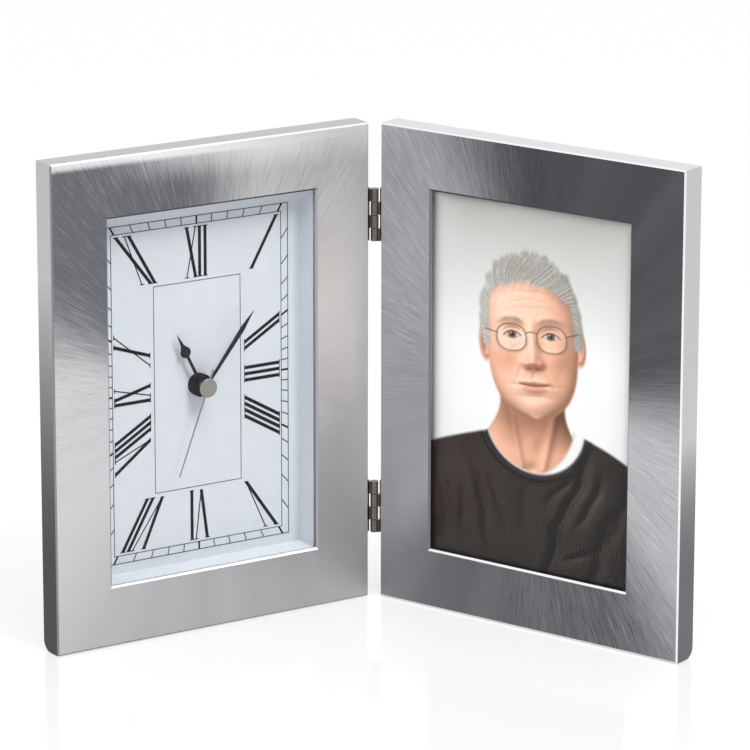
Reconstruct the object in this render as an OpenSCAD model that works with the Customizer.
// Folding photo frame clock: a clock wing and a photo wing joined by two small butt hinges.
// It stands open like a book on its two bottom edges. Millimetres, +Z up, hinge at the back.
// Each wing is drawn with u to the viewer's right, t into the depth behind its front face, z up.

/* [Wings] */
// Width of one wing
wing_w = 145; // [130:1:190]
// Height of one wing
wing_h = 196; // [170:1:250]
// Depth of the metal shell, front to back
shell_t = 11; // [10:0.5:16]
// Width of the upright rails beside the window
rail_side = 25; // [18:0.5:32]
// Width of the rails above and below the window
rail_end = 24.3; // [18:0.1:32]
// Thickness of the brushed sheet
sheet_t = 1; // [0.8:0.1:1.4]
// Polished bevel round the window
window_bevel = 0.75; // [0.3:0.05:0.8]
// Polished bevel round the outer edge of the face
edge_bevel = 0.6; // [0.3:0.05:0.8]
// Radius of the rolled bottom edge at the back
foot_r = 4.5; // [3:0.25:6]
// Angle between the two front faces as the frame stands
fold_open = 109.2; // [80:0.2:160]

/* [Glazing and backs] */
// Thickness of both panes
glass_t = 1.8; // [1.5:0.1:2.5]
// How far the pane reaches behind the lip, all round
glass_lap = 3; // [2:0.25:4]
// Free depth between the cap over the hands and the pane
cap_room = 0.55; // [0.4:0.05:3.5]
// Thickness of the dial card
dial_t = 0.4; // [0.3:0.1:1]
// Thickness of the printed photo
print_t = 0.3; // [0.2:0.1:0.6]
// Thickness of the card behind the photo
backing_t = 1.5; // [1:0.1:2]
// Thickness of the hardboard backs
board_t = 2; // [1.6:0.1:3]
// Wall of the white liner between glass and dial
liner_wall = 1.2; // [0.8:0.1:2]
// Inward taper of the liner, front to back, on each side
liner_taper = 0.7; // [0:0.1:1.5]
// Width of the ledge behind the opening, where screws and turn clips sit
ledge_w = 10.5; // [9:0.5:12]

/* [Hinges] */
// Length of each hinge
hinge_len = 21.6; // [16:0.2:32]
// Distance between the middles of the two hinges
hinge_pitch = 121; // [80:1:140]
// Gap between the wings along the fold
hinge_gap = 4.8; // [4.2:0.1:6]
// Radius of the knuckles
barrel_r = 1.6; // [1.5:0.05:1.8]
// Radius of the hinge pin
hinge_pin_r = 0.75; // [0.6:0.05:0.9]
// Thickness of each leaf
leaf_t = 1.2; // [1:0.1:1.3]
// Depth of each leaf on the side of its wing
leaf_w = 9; // [7:0.5:9.5]
// How far the pin stands in front of the wing faces
pin_fwd = 0.5; // [0.4:0.1:1]

/* [Hands] */
// Clock angle of the minute hand
minute_angle = 38.4; // [0:0.6:360]
// Clock angle of the second hand
second_angle = 201; // [0:6:360]
// Length of the hour hand from the arbor
hour_len = 24.8; // [18:0.2:30]
// Length of the minute hand from the arbor
minute_len = 36; // [26:0.5:38]
// Length of the second hand from the arbor
second_len = 37.2; // [26:0.2:38]
// Tail of the second hand
second_tail = 7.5; // [4:0.5:12]
// Thickness of the stamped hands
hand_t = 0.3; // [0.2:0.05:0.5]
// Radius of the boss on the hour hand
hour_boss_r = 4.65; // [3.6:0.05:5.5]
// Radius of the satin cap over the arbor
cap_r = 3.8; // [3:0.1:4.5]

/* [Movement] */
// Width and height of the movement case
case_w = 56; // [50:1:60]
// Depth of the movement case
case_t = 15; // [15:0.5:18]
// Wall of the movement case
case_wall = 1.2; // [1:0.1:1.4]
// Radius of the threaded centre post
post_r = 3.2; // [3:0.05:3.6]
// Radius of the set knob
knob_r = 4.5; // [3.5:0.1:5]
// Radius of the AA cell
cell_r = 7.2; // [6.8:0.1:7.2]
// Length of the AA cell without its nub
cell_len = 49.2; // [46:0.2:49.6]

/* [Hidden] */
$fn = 48;

// Clearances: parts that are only laid together, running fits, and pieces that pass each other
lay_gap = 0.1;
seat_gap = 0.02;
run_gap = 0.05;
pass_gap = 0.3;
cut = 1;

// Heights of the hand stack above the dial
washer_h = 0.3;
nut_h = 1.7;
post_h = 2.2;
hour_tube_h = 3.9;
hour_hand_h = 2.9;
minute_tube_h = 7.1;
minute_hand_h = 6.2;
second_hand_h = 7.4;
cap_h = 7.75;
cap_t = 0.9;
collet_h = 0.9;
nut_r = post_r + 1.45;
minute_disc_r = 3.2;
minute_collet_r = 2.2;
second_disc_r = 2.2;

// Window and the stack of layers behind it; the hand stack sets the dial's depth
win_w = wing_w - 2 * rail_side;
win_h = wing_h - 2 * rail_end;
glass_back = sheet_t + glass_t;
recess_t = glass_back + cap_room + cap_t + cap_h;
pane_w = win_w + 2 * glass_lap;
pane_h = win_h + 2 * glass_lap;
pocket_w = pane_w + 4 * lay_gap;
pocket_h = pane_h + 4 * lay_gap;
liner_w = win_w + 2 * liner_wall;
liner_h = win_h + 2 * liner_wall;
carrier_back = shell_t - sheet_t - lay_gap;
dial_back = recess_t + dial_t;
clock_back = dial_back + board_t;
ledge_side = min(ledge_w, (wing_w - pocket_w) / 2 - 2 * sheet_t);
ledge_end = min(ledge_w, (wing_h - pocket_h) / 2 - foot_r - lay_gap);
ledge_out_w = pocket_w + 2 * ledge_side;
ledge_out_h = pocket_h + 2 * ledge_end;
print_back = glass_back + print_t;
backing_back = print_back + backing_t;
photo_back = backing_back + board_t;
ledge_back = photo_back + lay_gap;

// Fold
half_turn = (180 - fold_open) / 2;
wing_shift = hinge_gap / 2 + wing_w / 2;
front_reach = (hinge_gap / 2 + wing_w - edge_bevel) * sin(half_turn) - pin_fwd * cos(half_turn);
case_reach = (pin_fwd + shell_t) * cos(half_turn) - hinge_gap / 2 * sin(half_turn);
pin_y = (front_reach - case_reach) / 2;
knuckles = 4;
knuckle_pitch = hinge_len / knuckles;
knuckle_gap = 0.3;
leaf_screw_r = 0.8;
leaf_screw_head_r = 1.5;
leaf_screw_len = 5;
leaf_screw_z = hinge_len * 0.29;
leaf_screw_t = leaf_w * 0.56;
leaf_sink = 0.8;
ledge_corner_r = 4;
liner_set = 0.3;

// Back screws, turn clips and rivets
back_screw_r = 1.2;
back_screw_head_r = 2.2;
back_screw_head_t = 1.3;
back_screw_len = 6;
clip_len = 11;
clip_r = 3.4;
clip_t = 0.8;
clip_lift = 0.2;
clip_z = 42;
rivet_r = 1;
rivet_head_r = 1.9;
rivet_head_t = 0.8;
rivet_len = 2.2;

// The dial print and the movement sit a little off the middle of the window
dial_du = -0.5;
dial_dz = -1;

// Movement gearing: 12 to 36 and 10 to 40 make the hour wheel turn once for twelve turns
pressure = 25;
module_a = 0.3;
module_b = 0.288;
cannon_teeth = 12;
motion_teeth = 36;
motion_pinion_teeth = 10;
hour_teeth = 40;
set_teeth = 18;
backlash = 0.07;
gear_w = 0.8;
motion_dir = 45;
motion_dist = module_a * (cannon_teeth + motion_teeth) / 2;
set_dir = 65;
set_dist = module_a * (motion_teeth + set_teeth) / 2;
motion_pos = motion_dist * [cos(motion_dir), sin(motion_dir)];
set_pos = motion_pos + set_dist * [cos(set_dir), sin(set_dir)];

// Depths inside the movement, measured like t
plate_back = clock_back + case_wall;
case_back = clock_back + case_t;
lid_front = case_back - case_wall;
hour_wheel_t = plate_back + 0.2;
motion_wheel_t = hour_wheel_t + gear_w + 0.5;
arbor_tail_t = motion_wheel_t + gear_w + 1.2;
hour_tube_r = 2.35;
minute_tube_r = 1.5;
second_arbor_r = 0.5;
motion_post_r = 0.6;
set_arbor_r = 1;
set_collar_r = 1.8;
case_inner = case_w / 2 - case_wall;

// Battery bay, sized by the cell, its nub and the contact at each end
nub_out = 1.2;
nub_r = 2.7;
contact_sheet = 0.4;
contact_reach = 1.6;
cell_room = 0.4;
bay_floor = 0.5;
bay_w = cell_len + nub_out + 2 * (contact_reach + case_wall);
bay_inner = bay_w / 2 - case_wall;
bay_h = 2 * (cell_r + cell_room);
bay_top = -case_inner + bay_h;
cell_z = -case_inner + cell_room + cell_r;
cell_t = clock_back + bay_floor + lay_gap + cell_r;

// Coil on its core between the stator's two legs, above the motion wheel and beside the set arbor
core_r = 1.2;
coil_r = 3;
flange_r = 3.6;
flange_t = 1;
coil_gap = 1.2;
coil_t = plate_back + 2 * lay_gap + flange_r;
stator_inset = 2.8;
stator_leg_w = 4.8;
stator_pole_h = 4;
stator_sheet = 0.8;
stator_u0 = -case_inner + stator_inset;
stator_u1 = set_pos[0] - set_collar_r - 2 * pass_gap;
stator_z = motion_pos[1] + module_a * (motion_teeth / 2 + 0.8) + 4 * pass_gap;
stator_top = case_inner - stator_inset;
stator_t = coil_t + flange_r + pass_gap;
pillar_z0 = stator_z + stator_pole_h + cut;
pillar_z1 = stator_top - cut;
coil_z = (pillar_z0 + pillar_z1) / 2;
coil_u = stator_u0 + stator_leg_w + coil_gap;
coil_len = stator_u1 - stator_leg_w - coil_gap - coil_u;
rotor_r = 1.5;

// Circuit board on edge along the case wall, between the bay and the stator
board_inset = 1.8;
board_w = 3.8;
board_depth = 6;
board_u = -case_inner + board_inset;
board_z0 = bay_top + case_wall + 1.4;
board_z1 = stator_z - cut;
part_sink = 0.3;
can_r = 1.5;
can_len = 8;
chip_w = 1.2;
chip_h = 6;

// Colours
brushed = "#a9a9ad";
steel_bright = "#c8c8cc";
white_card = "#e8ebf0";
black_plastic = "#232325";
hardboard = "#3a322c";
brass = "#b8964e";
pane_tint = [0.85, 0.92, 0.95, 0.35];

// Places children from the clock wing's own frame
module clock_place() {
    translate([0, pin_y, 0])
        rotate([0, 0, half_turn])
            translate([-wing_shift, pin_fwd, 0])
                children();
}

// Places children from the photo wing's own frame
module photo_place() {
    translate([0, pin_y, 0])
        rotate([0, 0, -half_turn])
            translate([wing_shift, pin_fwd, 0])
                children();
}

// Turns a drawing in u and z into a plate that runs from depth t0 to depth t1
module plate_uz(t0, t1) {
    translate([0, t1, 0])
        rotate([90, 0, 0])
            linear_extrude(height = t1 - t0)
                children();
}

// Turns a drawing in t and z into a bar of width w along u
module bar_tz(w) {
    rotate([90, 0, 90])
        linear_extrude(height = w, center = true)
            children();
}

// Block centred on u, standing on z0, from depth t0 to t1
module block(w, h, t0, t1, z0) {
    translate([-w / 2, t0, z0])
        cube([w, t1 - t0, h]);
}

// Opening that narrows from w by h at depth t0 by taper on each side at depth t1
module tapered_opening(w, h, t0, t1, taper) {
    run = t1 - t0;
    slope = taper / run;
    a = cut * slope;
    translate([0, 0, wing_h / 2])
        intersection() {
            translate([0, 0, -h / 2 - cut])
                linear_extrude(height = h + 2 * cut)
                    polygon([
                        [-w / 2 - a, t0 - cut], [w / 2 + a, t0 - cut],
                        [w / 2 - taper, t1], [-w / 2 + taper, t1]
                    ]);
            bar_tz(w + 2 * cut)
                polygon([
                    [t0 - cut, -h / 2 - a], [t0 - cut, h / 2 + a],
                    [t1, h / 2 - taper], [t1, -h / 2 + taper]
                ]);
        }
}

// Side outline: square top, bevelled face edges and a bottom edge that rolls up at the back
module side_outline(depth, height, roll, bevel) {
    difference() {
        polygon([
            [bevel, 0], [depth, 0], [depth, height], [bevel, height],
            [0, height - bevel], [0, bevel]
        ]);
        translate([depth - roll, 0])
            difference() {
                translate([0, -cut])
                    square([roll + cut, roll + cut]);
                translate([0, roll])
                    circle(r = roll);
            }
    }
}

// One brushed metal shell, a folded tray with a window; side is +1 where the hinge edge is at +u
module wing_shell(side) {
    inner_roll = foot_r - sheet_t;
    difference() {
        intersection() {
            bar_tz(wing_w)
                side_outline(shell_t, wing_h, foot_r, edge_bevel);
            linear_extrude(height = wing_h)
                polygon([
                    [-wing_w / 2 + edge_bevel, 0], [wing_w / 2 - edge_bevel, 0],
                    [wing_w / 2, edge_bevel], [wing_w / 2, shell_t],
                    [-wing_w / 2, shell_t], [-wing_w / 2, edge_bevel]
                ]);
        }
        translate([0, sheet_t, sheet_t])
            bar_tz(wing_w - 2 * sheet_t)
                side_outline(shell_t - 2 * sheet_t, wing_h - 2 * sheet_t, inner_roll, 0);
        block(wing_w - 2 * sheet_t, wing_h - foot_r - sheet_t, sheet_t, shell_t + cut, foot_r);
        block(win_w, win_h, -cut, sheet_t + cut, rail_end);
        tapered_opening(win_w + 2 * window_bevel, win_h + 2 * window_bevel, 0, window_bevel,
                        window_bevel);
        leaf_screw_bores(side, leaf_screw_r + lay_gap);
    }
}

// Rounded rectangle in u and z, centred on the wing
module panel_outline(w, h, r) {
    translate([0, wing_h / 2])
        union() {
            square([w, h - 2 * r], center = true);
            square([w - 2 * r, h], center = true);
            for (i = [-1, 1], j = [-1, 1])
                translate([i * (w / 2 - r), j * (h / 2 - r)])
                    circle(r = r);
        }
}

// The moulded carrier that fills the shell, up to the depth where the shell's lip begins
module carrier_body() {
    inner = sheet_t + lay_gap;
    translate([0, sheet_t, inner])
        bar_tz(wing_w - 2 * inner)
            side_outline(carrier_back - sheet_t, wing_h - 2 * inner,
                         foot_r - sheet_t - lay_gap, 0);
}

// Screw positions of a hinge leaf, in z
function leaf_screw_heights() =
    [for (k = [-1, 1], j = [-1, 1]) wing_h / 2 + k * hinge_pitch / 2 + j * leaf_screw_z];

// Bores for the leaf screws, through the hinge side of a wing
module leaf_screw_bores(side, r) {
    for (z = leaf_screw_heights())
        translate([side * (wing_w / 2 - leaf_screw_len), leaf_screw_t, z])
            rotate([0, side * 90, 0])
                cylinder(r = r, h = leaf_screw_len + leaf_t + cut);
}

module clock_shell() color(brushed) clock_place() wing_shell(1);

module photo_shell() color(brushed) photo_place() wing_shell(-1);

module clock_carrier() color(black_plastic) clock_place() {
    difference() {
        union() {
            carrier_body();
            if (dial_back > carrier_back)
                plate_uz(carrier_back - cut, dial_back)
                    panel_outline(ledge_out_w, ledge_out_h, ledge_corner_r);
        }
        if (carrier_back > dial_back)
            plate_uz(dial_back, carrier_back + cut)
                panel_outline(ledge_out_w + 2 * lay_gap, ledge_out_h + 2 * lay_gap,
                              ledge_corner_r);
        block(pane_w + 2 * lay_gap, pane_h + 2 * lay_gap, 0, glass_back,
              (wing_h - pane_h) / 2 - lay_gap);
        block(liner_w + 2 * lay_gap, liner_h + 2 * lay_gap, 0, recess_t + cut,
              (wing_h - liner_h) / 2 - lay_gap);
        block(pocket_w, pocket_h, recess_t, dial_back + cut, (wing_h - pocket_h) / 2);
        leaf_screw_bores(1, leaf_screw_r + seat_gap);
        back_screw_holes(back_screw_r + seat_gap, dial_back - back_screw_len, dial_back + cut);
    }
}

module photo_carrier() color(black_plastic) photo_place() {
    difference() {
        carrier_body();
        block(pane_w + 2 * lay_gap, pane_h + 2 * lay_gap, 0, glass_back,
              (wing_h - pane_h) / 2 - lay_gap);
        block(pocket_w, pocket_h, glass_back, shell_t, (wing_h - pocket_h) / 2);
        block(win_w, win_h, 0, shell_t, rail_end);
        plate_uz(ledge_back, shell_t)
            panel_outline(ledge_out_w, ledge_out_h, ledge_corner_r);
        leaf_screw_bores(-1, leaf_screw_r + seat_gap);
        clip_spots()
            translate([0, ledge_back - rivet_len, 0])
                rotate([-90, 0, 0])
                    cylinder(r = rivet_r + seat_gap, h = rivet_len + cut);
    }
}

// Flat pane behind the lip of a window
module pane() {
    block(pane_w, pane_h, sheet_t, glass_back, (wing_h - pane_h) / 2);
}

module clock_glass() color(pane_tint) clock_place() pane();

module photo_glass() color(pane_tint) photo_place() pane();

// White shadow-box liner, with walls that lean in towards the dial
module clock_liner() color(white_card) clock_place() {
    clear_w = win_w + 2 * liner_set;
    clear_h = win_h + 2 * liner_set;
    difference() {
        block(liner_w, liner_h, glass_back, recess_t, (wing_h - liner_h) / 2);
        tapered_opening(clear_w, clear_h, glass_back, recess_t, liner_taper);
        block(clear_w - 2 * liner_taper, clear_h - 2 * liner_taper, glass_back,
              recess_t + cut, rail_end - liner_set + liner_taper);
    }
}

// Moves children to the arbor, at the dial's front, with t still pointing into the depth
module arbor_place() {
    clock_place()
        translate([dial_du, recess_t, wing_h / 2 + dial_dz])
            children();
}

// Round bar along t between two depths of the wing, at a place given from the arbor
module round_t(r, t0, t1) {
    translate([0, t0 - recess_t, 0])
        rotate([-90, 0, 0])
            cylinder(r = r, h = t1 - t0);
}

module clock_dial() color(white_card) {
    difference() {
        clock_place()
            block(pane_w, pane_h, recess_t, dial_back, (wing_h - pane_h) / 2);
        arbor_place()
            round_t(post_r + lay_gap, recess_t - cut, dial_back + cut);
    }
}

module clock_back_board() color(hardboard) {
    difference() {
        clock_place()
            plate_uz(dial_back, clock_back)
                panel_outline(ledge_out_w, ledge_out_h, ledge_corner_r);
        arbor_place()
            round_t(post_r + lay_gap, dial_back - cut, clock_back + cut);
        clock_place()
            back_screw_holes(back_screw_r + lay_gap, dial_back - cut, clock_back + cut);
    }
}

// Bores of the four back screws between two depths
module back_screw_holes(r, t0, t1) {
    for (i = [-1, 1], j = [-1, 1])
        translate([i * (pocket_w + ledge_side) / 2, t0, wing_h / 2 + j * (pocket_h + ledge_end) / 2])
            rotate([-90, 0, 0])
                cylinder(r = r, h = t1 - t0);
}

module clock_back_screws() color(steel_bright) clock_place() {
    difference() {
        union() {
            back_screw_holes(back_screw_r, dial_back - back_screw_len + 0.5, clock_back + 0.2);
            back_screw_holes(back_screw_head_r, clock_back, clock_back + back_screw_head_t);
        }
        for (i = [-1, 1], j = [-1, 1])
            translate([i * (pocket_w + ledge_side) / 2, clock_back + back_screw_head_t,
                       wing_h / 2 + j * (pocket_h + ledge_end) / 2])
                for (a = [0, 90])
                    rotate([0, a, 0])
                        cube([2.6, 1.4, 0.6], center = true);
    }
}

// Involute tooth: angle in degrees of the flank at radius r for base radius rb
function roll_angle(rb, r) = rb >= r ? 0 : tan(acos(rb / r)) * 180 / PI - acos(rb / r);

// Points of one gear, with a tooth centred on +x
function gear_points(teeth, m) =
    let (
        pitch = teeth * m / 2,
        rb = pitch * cos(pressure),
        tip = pitch + 0.8 * m,
        root = pitch - 1.1 * m,
        half = 90 / teeth - backlash / pitch * 90 / PI + roll_angle(rb, pitch),
        steps = 3,
        start = max(rb, root)
    )
    [for (k = [0 : teeth - 1])
        let (c = k * 360 / teeth)
        each concat(
            [root * [cos(c - half), sin(c - half)]],
            [for (i = [0 : steps])
                let (r = start + (tip - start) * i / steps, a = c - half + roll_angle(rb, r))
                r * [cos(a), sin(a)]],
            [for (i = [steps : -1 : 0])
                let (r = start + (tip - start) * i / steps, a = c + half - roll_angle(rb, r))
                r * [cos(a), sin(a)]],
            [root * [cos(c + half), sin(c + half)]]
        )];

// A gear wheel between two depths, turned so that a tooth centre points along dir
module gear(teeth, m, t0, t1, dir) {
    translate([0, t1 - recess_t, 0])
        rotate([90, 0, 0])
            linear_extrude(height = t1 - t0)
                rotate(dir)
                    polygon(gear_points(teeth, m));
}

// Moves children to a place in the movement, given from the arbor
module at_axis(p) {
    translate([p[0], 0, p[1]])
        children();
}

// Rounded case outline in u and z round the arbor
module case_outline(r) {
    side = case_w / 2 - r;
    union() {
        square([case_w, 2 * side], center = true);
        square([2 * side, case_w], center = true);
        for (i = [-1, 1], j = [-1, 1])
            translate([i * side, j * side])
                circle(r = r);
    }
}

// Block given from the arbor: u, z ranges and depths of the wing
module movement_block(u0, u1, z0, z1, t0, t1) {
    translate([u0, t0 - recess_t, z0])
        cube([u1 - u0, t1 - t0, z1 - z0]);
}

module movement_case() color(black_plastic) arbor_place() {
    difference() {
        union() {
            translate([0, case_back - recess_t, 0])
                rotate([90, 0, 0])
                    linear_extrude(height = case_t)
                        case_outline(3);
            if (bay_w > case_w + seat_gap)
                movement_block(-bay_w / 2, bay_w / 2, -case_w / 2, bay_top + case_wall,
                               clock_back, case_back);
        }
        movement_block(-case_inner, case_inner, bay_top + case_wall, case_inner, plate_back,
                       case_back + cut);
        movement_block(-case_w / 2 - cut, case_w / 2 + cut, bay_top, case_w / 2 + cut,
                       lid_front, case_back + cut);
        movement_block(-bay_inner, bay_inner, -case_inner, bay_top, clock_back + bay_floor,
                       case_back + cut);
        round_t(post_r + seat_gap, clock_back - cut, plate_back + cut);
    }
    at_axis(motion_pos)
        round_t(motion_post_r, plate_back - 0.2, motion_wheel_t + gear_w + 0.6);
    at_axis(set_pos)
        difference() {
            round_t(2, plate_back - 0.2, plate_back + 1.1);
            round_t(set_arbor_r + run_gap, plate_back, plate_back + 1.1 + cut);
        }
}

module movement_lid() color(black_plastic) arbor_place() {
    difference() {
        intersection() {
            translate([0, case_back - recess_t, 0])
                rotate([90, 0, 0])
                    linear_extrude(height = case_wall)
                        case_outline(3);
            movement_block(-case_w, case_w, bay_top + lay_gap, case_w, lid_front,
                           case_back + cut);
        }
        at_axis(set_pos)
            round_t(set_arbor_r + run_gap, lid_front - cut, case_back + cut);
    }
    difference() {
        round_t(1.6, lid_front - 2, lid_front + 0.2);
        round_t(second_arbor_r + run_gap, lid_front - 2 - cut, lid_front - 0.3);
    }
}

module threaded_post() color(brass) arbor_place() {
    difference() {
        round_t(post_r, recess_t - post_h, plate_back);
        round_t(hour_tube_r + run_gap, recess_t - post_h - cut, plate_back + cut);
        for (i = [0 : 2])
            difference() {
                round_t(post_r + cut, recess_t - post_h + 0.25 + i * 0.5,
                        recess_t - post_h + 0.45 + i * 0.5);
                round_t(post_r - 0.15, recess_t - post_h, plate_back);
            }
    }
}

module dial_washer() color(brass) arbor_place() {
    difference() {
        round_t(nut_r - lay_gap, recess_t - washer_h, recess_t);
        round_t(post_r + seat_gap, recess_t - washer_h - cut, recess_t + cut);
    }
}

module post_nut() color(brass) arbor_place() {
    difference() {
        translate([0, -washer_h, 0])
            rotate([90, 0, 0])
                cylinder(r = nut_r, h = nut_h, $fn = 6);
        round_t(post_r + seat_gap, recess_t - nut_h - 2 * cut, recess_t + cut);
    }
}

module aa_cell() color("#b6b8bc") arbor_place() {
    translate([-(cell_len + nub_out) / 2, cell_t - recess_t, cell_z])
        rotate([0, 90, 0]) {
            cylinder(r = cell_r, h = cell_len);
            translate([0, 0, cell_len - cut])
                cylinder(r = nub_r, h = nub_out + cut);
        }
}

// Pressed contact: a plate on the end wall of the bay with a round boss towards the cell
module contact(sign) {
    half_w = 4;
    half_t = 4.5;
    boss_r = 1.8;
    reach = contact_reach - seat_gap;
    face = sign > 0 ? bay_inner - contact_sheet : -bay_inner;
    boss = sign > 0 ? bay_inner - reach : -bay_inner;
    movement_block(face, face + contact_sheet, cell_z - half_w, cell_z + half_w,
                   cell_t - half_t, cell_t + half_t);
    translate([boss, cell_t - recess_t, cell_z])
        rotate([0, 90, 0])
            cylinder(r = boss_r, h = reach);
}

module contact_plus() color(steel_bright) arbor_place() contact(1);

module contact_minus() color(steel_bright) arbor_place() contact(-1);

// Round bar along u, from a place beside the arbor
module round_u(r, u, len) {
    translate([u, coil_t - recess_t, coil_z])
        rotate([0, 90, 0])
            cylinder(r = r, h = len);
}

module coil() color("#9c4f2a") arbor_place() {
    difference() {
        union() {
            round_u(coil_r, coil_u, coil_len);
            for (u = [coil_u, coil_u + coil_len - flange_t])
                round_u(flange_r, u, flange_t);
        }
        round_u(core_r + seat_gap, coil_u - cut, coil_len + 2 * cut);
    }
}

module stator() color(steel_bright) arbor_place() {
    front = stator_t + stator_sheet;
    difference() {
        union() {
            movement_block(stator_u0, stator_u1, stator_z, stator_z + stator_pole_h,
                           stator_t, front);
            for (u = [stator_u0, stator_u1 - stator_leg_w]) {
                movement_block(u, u + stator_leg_w, stator_z, stator_top, stator_t, front);
                movement_block(u, u + stator_leg_w, pillar_z0, pillar_z1,
                               plate_back, stator_t + stator_sheet / 2);
            }
            round_u(core_r, stator_u0 + cut, stator_u1 - stator_u0 - 2 * cut);
        }
        at_axis([(stator_u0 + stator_u1) / 2, stator_z + stator_pole_h / 2])
            round_t(rotor_r, stator_t - cut, front + cut);
    }
}

module circuit_board() color("#2f5a3a") arbor_place() {
    face = board_u + board_w;
    movement_block(board_u, face, board_z0, board_z1, plate_back, plate_back + board_depth);
    translate([face - part_sink + can_r, plate_back + board_depth / 2 - recess_t,
               board_z0 + can_r])
        cylinder(r = can_r, h = can_len);
    movement_block(face - part_sink, face + chip_w, board_z1 - cut - chip_h, board_z1 - cut,
                   plate_back + cut, plate_back + board_depth - cut);
}

module minute_arbor() color(brass) arbor_place() {
    difference() {
        union() {
            round_t(minute_tube_r, recess_t - minute_tube_h, arbor_tail_t);
            gear(cannon_teeth, module_a, motion_wheel_t - 0.1, motion_wheel_t + gear_w + 0.1,
                 motion_dir);
        }
        round_t(second_arbor_r + run_gap, recess_t - minute_tube_h - cut, arbor_tail_t + cut);
    }
}

module hour_wheel() color(brass) arbor_place() {
    difference() {
        union() {
            gear(hour_teeth, module_b, hour_wheel_t, hour_wheel_t + gear_w, motion_dir);
            round_t(hour_tube_r, recess_t - hour_tube_h, hour_wheel_t + gear_w);
        }
        round_t(minute_tube_r + run_gap, recess_t - hour_tube_h - cut,
                hour_wheel_t + gear_w + cut);
    }
}

module motion_wheel() color(white_card) arbor_place() at_axis(motion_pos) {
    difference() {
        union() {
            gear(motion_teeth, module_a, motion_wheel_t, motion_wheel_t + gear_w,
                 motion_dir + 180 + 180 / motion_teeth);
            gear(motion_pinion_teeth, module_b, hour_wheel_t - 0.1, motion_wheel_t + 0.1,
                 motion_dir + 180 + 180 / motion_pinion_teeth);
        }
        round_t(motion_post_r + run_gap, plate_back - cut, motion_wheel_t + gear_w + cut);
    }
}

module set_knob() color(black_plastic) arbor_place() at_axis(set_pos) {
    ribs = 18;
    knob_front = case_back + pass_gap;
    knob_back = knob_front + 2.6;
    gear(set_teeth, module_a, motion_wheel_t, motion_wheel_t + gear_w, set_dir + 180);
    round_t(set_arbor_r, plate_back + 0.2, knob_back - 0.5);
    round_t(set_collar_r, lid_front - cut, lid_front - pass_gap);
    difference() {
        round_t(knob_r, knob_front, knob_back);
        for (k = [0 : ribs - 1])
            rotate([0, k * 360 / ribs, 0])
                at_axis([knob_r + 0.1, 0])
                    round_t(0.35, knob_front - cut, knob_back + cut);
    }
}

// Turns a hand drawing, pointing up at +z, to a clock angle at a height above the dial
module hand_place(angle, height) {
    arbor_place()
        rotate([0, angle, 0])
            translate([0, -height, 0])
                children();
}

// A flat stamped hand from a drawing in u and z, its back at the placed height
module stamped(thick) {
    rotate([90, 0, 0])
        linear_extrude(height = thick)
            children();
}

module hour_hand() color("#101012") {
    bulb_at = 16.2;
    bulb_r = 2.3;
    hand_place(-30 + minute_angle / 12, hour_hand_h)
        difference() {
            union() {
                stamped(hand_t) {
                    circle(r = hour_boss_r);
                    translate([-0.6, 0])
                        square([1.2, bulb_at]);
                    translate([0, bulb_at])
                        circle(r = bulb_r);
                    polygon([
                        [-1.9, bulb_at + 1.2], [-0.75, bulb_at + 3.1], [0, hour_len],
                        [0.75, bulb_at + 3.1], [1.9, bulb_at + 1.2]
                    ]);
                }
                translate([0, hand_t, 0])
                    rotate([90, 0, 0])
                        cylinder(r = hour_boss_r - 0.9, h = collet_h + hand_t);
            }
            translate([0, cut, 0])
                rotate([90, 0, 0])
                    cylinder(r = hour_tube_r + seat_gap, h = 4 * cut);
        }
}

module minute_hand() color("#101012") {
    wide_at = 27.3;
    hand_place(minute_angle, minute_hand_h)
        difference() {
            union() {
                stamped(hand_t) {
                    circle(r = minute_disc_r);
                    polygon([
                        [-0.5, 0], [-1.05, wide_at], [0, minute_len], [1.05, wide_at], [0.5, 0]
                    ]);
                }
                translate([0, collet_h - hand_t, 0])
                    rotate([90, 0, 0])
                        cylinder(r = minute_collet_r, h = collet_h);
            }
            translate([0, cut, 0])
                rotate([90, 0, 0])
                    cylinder(r = minute_tube_r + seat_gap, h = 4 * cut);
        }
}

module second_hand() color("#8d9096") {
    hand_place(second_angle, second_hand_h)
        difference() {
            union() {
                stamped(hand_t - seat_gap)
                    polygon([
                        [-0.35, -second_tail], [-0.2, second_len], [0.2, second_len],
                        [0.35, -second_tail]
                    ]);
                translate([0, seat_gap, 0])
                    rotate([90, 0, 0])
                        cylinder(r = second_disc_r, h = hand_t + seat_gap);
            }
            translate([0, cut, 0])
                rotate([90, 0, 0])
                    cylinder(r = second_arbor_r + seat_gap, h = 4 * cut);
        }
}

module second_arbor() color(steel_bright) arbor_place()
    round_t(second_arbor_r, recess_t - cap_h - 0.25, lid_front - 0.5);

module hand_cap() color("#c9c9cb") hand_place(0, cap_h) {
    edge = 0.25;
    difference() {
        rotate([90, 0, 0])
            rotate_extrude()
                polygon([
                    [0, 0], [cap_r, 0], [cap_r, cap_t - edge], [cap_r - edge, cap_t], [0, cap_t]
                ]);
        translate([0, cut, 0])
            rotate([90, 0, 0])
                cylinder(r = second_arbor_r + seat_gap, h = cut + 0.3);
    }
}

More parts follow.
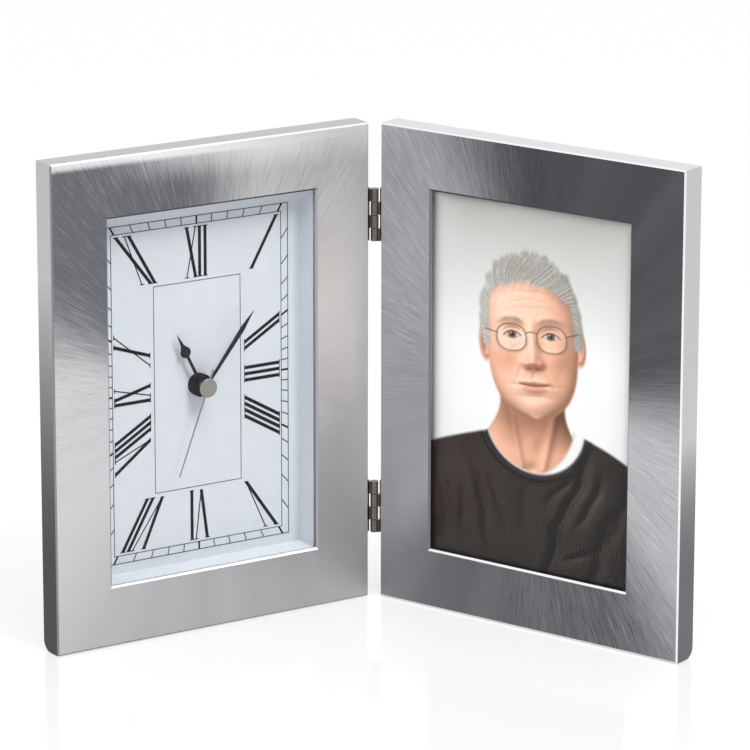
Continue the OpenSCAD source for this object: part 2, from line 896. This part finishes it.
// Hinge leaf of one wing: a plate on its side face and every other knuckle
module leaf(side, middle, first, pin_fit) {
    face = side * wing_w / 2;
    pin_u = face + side * hinge_gap / 2;
    clear_t = barrel_r + knuckle_gap - pin_fwd;
    bottom = middle - hinge_len / 2;
    difference() {
        union() {
            translate([min(face, face + side * leaf_t), clear_t, bottom])
                cube([leaf_t, leaf_w - clear_t, hinge_len]);
            for (k = [first : 2 : knuckles - 1])
                translate([0, 0, bottom + k * knuckle_pitch + knuckle_gap / 2]) {
                    translate([min(face, face + side * leaf_t), -pin_fwd, 0])
                        cube([leaf_t, clear_t + pin_fwd + cut, knuckle_pitch - knuckle_gap]);
                    translate([pin_u, -pin_fwd, 0])
                        cylinder(r = barrel_r, h = knuckle_pitch - knuckle_gap);
                }
        }
        translate([pin_u, -pin_fwd, bottom - cut])
            cylinder(r = hinge_pin_r + pin_fit, h = hinge_len + 2 * cut);
        for (j = [-1, 1])
            translate([face - side * cut, leaf_w * 0.56, middle + j * leaf_screw_z])
                rotate([0, side * 90, 0]) {
                    cylinder(r = leaf_screw_r + lay_gap, h = leaf_t + 2 * cut);
                    translate([0, 0, cut + leaf_t - leaf_sink])
                        cylinder(r1 = leaf_screw_r + lay_gap, r2 = leaf_screw_head_r + lay_gap,
                                 h = leaf_sink + 0.001);
                }
    }
}

// Countersunk screws of the two leaves on one wing
module leaf_screws(side) {
    face = side * (wing_w / 2 + leaf_t);
    for (z = leaf_screw_heights())
        translate([face, leaf_screw_t, z])
            rotate([0, -side * 90, 0])
                difference() {
                    union() {
                        cylinder(r1 = leaf_screw_head_r, r2 = leaf_screw_r, h = 0.75);
                        cylinder(r = leaf_screw_r, h = leaf_screw_len);
                    }
                    for (a = [0, 90])
                        rotate([0, 0, a])
                            cube([1.8, 0.4, 0.7], center = true);
                }
}

upper_z = wing_h / 2 + hinge_pitch / 2;
lower_z = wing_h / 2 - hinge_pitch / 2;

module clock_leaf_upper() color(steel_bright) clock_place() leaf(1, upper_z, 1, seat_gap);

module clock_leaf_lower() color(steel_bright) clock_place() leaf(1, lower_z, 1, seat_gap);

module photo_leaf_upper() color(steel_bright) photo_place() leaf(-1, upper_z, 0, run_gap);

module photo_leaf_lower() color(steel_bright) photo_place() leaf(-1, lower_z, 0, run_gap);

module clock_leaf_screws() color(steel_bright) clock_place() leaf_screws(1);

module photo_leaf_screws() color(steel_bright) photo_place() leaf_screws(-1);

// Hinge pin, flush with the ends of the knuckles
module hinge_pin(middle) {
    translate([0, pin_y, middle - hinge_len / 2 + knuckle_gap / 2])
        cylinder(r = hinge_pin_r, h = hinge_len - knuckle_gap);
}

module hinge_pin_upper() color(steel_bright) hinge_pin(upper_z);

module hinge_pin_lower() color(steel_bright) hinge_pin(lower_z);

// Sheet the size of the pane, between two depths of the photo wing
module sheet(t0, t1) {
    block(pane_w, pane_h, t0, t1, (wing_h - pane_h) / 2);
}

module photo_print() color("#c9c6c2") photo_place() sheet(glass_back, print_back);

module backing_card() color("#cfc8b8") photo_place() sheet(print_back, backing_back);

module photo_back_board() color(hardboard) photo_place() sheet(backing_back, photo_back);

// Pivot of one turn clip, from the middle of the photo wing
function clip_spot(i, j) = [i * (pocket_w + ledge_side) / 2, wing_h / 2 + j * clip_z];

// Puts children at the four clip pivots
module clip_spots() {
    for (i = [-1, 1], j = [-1, 1])
        at_axis(clip_spot(i, j))
            children();
}

module clip_rivets() color(steel_bright) photo_place() clip_spots() {
    top = photo_back + clip_lift + clip_t + lay_gap;
    translate([0, ledge_back - rivet_len + 0.2, 0])
        rotate([-90, 0, 0])
            cylinder(r = rivet_r, h = top - ledge_back + rivet_len);
    translate([0, top, 0])
        rotate([-90, 0, 0])
            cylinder(r1 = rivet_head_r, r2 = rivet_head_r - 0.6, h = rivet_head_t);
}

// Stamped turn clip that reaches from its rivet over the edge of the back board
module turn_clip(i, j) {
    color(steel_bright) photo_place() at_axis(clip_spot(i, j))
        translate([0, photo_back + clip_lift + clip_t, 0])
            rotate([90, 0, 0])
                linear_extrude(height = clip_t)
                    difference() {
                        union() {
                            circle(r = clip_r);
                            translate([i > 0 ? -clip_len : 0, -clip_r])
                                square([clip_len, 2 * clip_r]);
                            translate([-i * clip_len, 0])
                                circle(r = clip_r);
                        }
                        circle(r = rivet_r + run_gap);
                    }
}

module clip_upper_inner() turn_clip(-1, 1);

module clip_lower_inner() turn_clip(-1, -1);

module clip_upper_outer() turn_clip(1, 1);

module clip_lower_outer() turn_clip(1, -1);

clock_shell();
clock_carrier();
clock_glass();
clock_liner();
clock_dial();
clock_back_board();
clock_back_screws();
movement_case();
movement_lid();
threaded_post();
dial_washer();
post_nut();
aa_cell();
contact_plus();
contact_minus();
coil();
stator();
circuit_board();
minute_arbor();
minute_hand();
hour_wheel();
hour_hand();
second_arbor();
second_hand();
hand_cap();
motion_wheel();
set_knob();
clock_leaf_upper();
clock_leaf_lower();
hinge_pin_upper();
hinge_pin_lower();
clock_leaf_screws();
photo_shell();
photo_carrier();
photo_glass();
photo_print();
backing_card();
photo_back_board();
clip_rivets();
clip_upper_inner();
clip_lower_inner();
clip_upper_outer();
clip_lower_outer();
photo_leaf_upper();
photo_leaf_lower();
photo_leaf_screws();
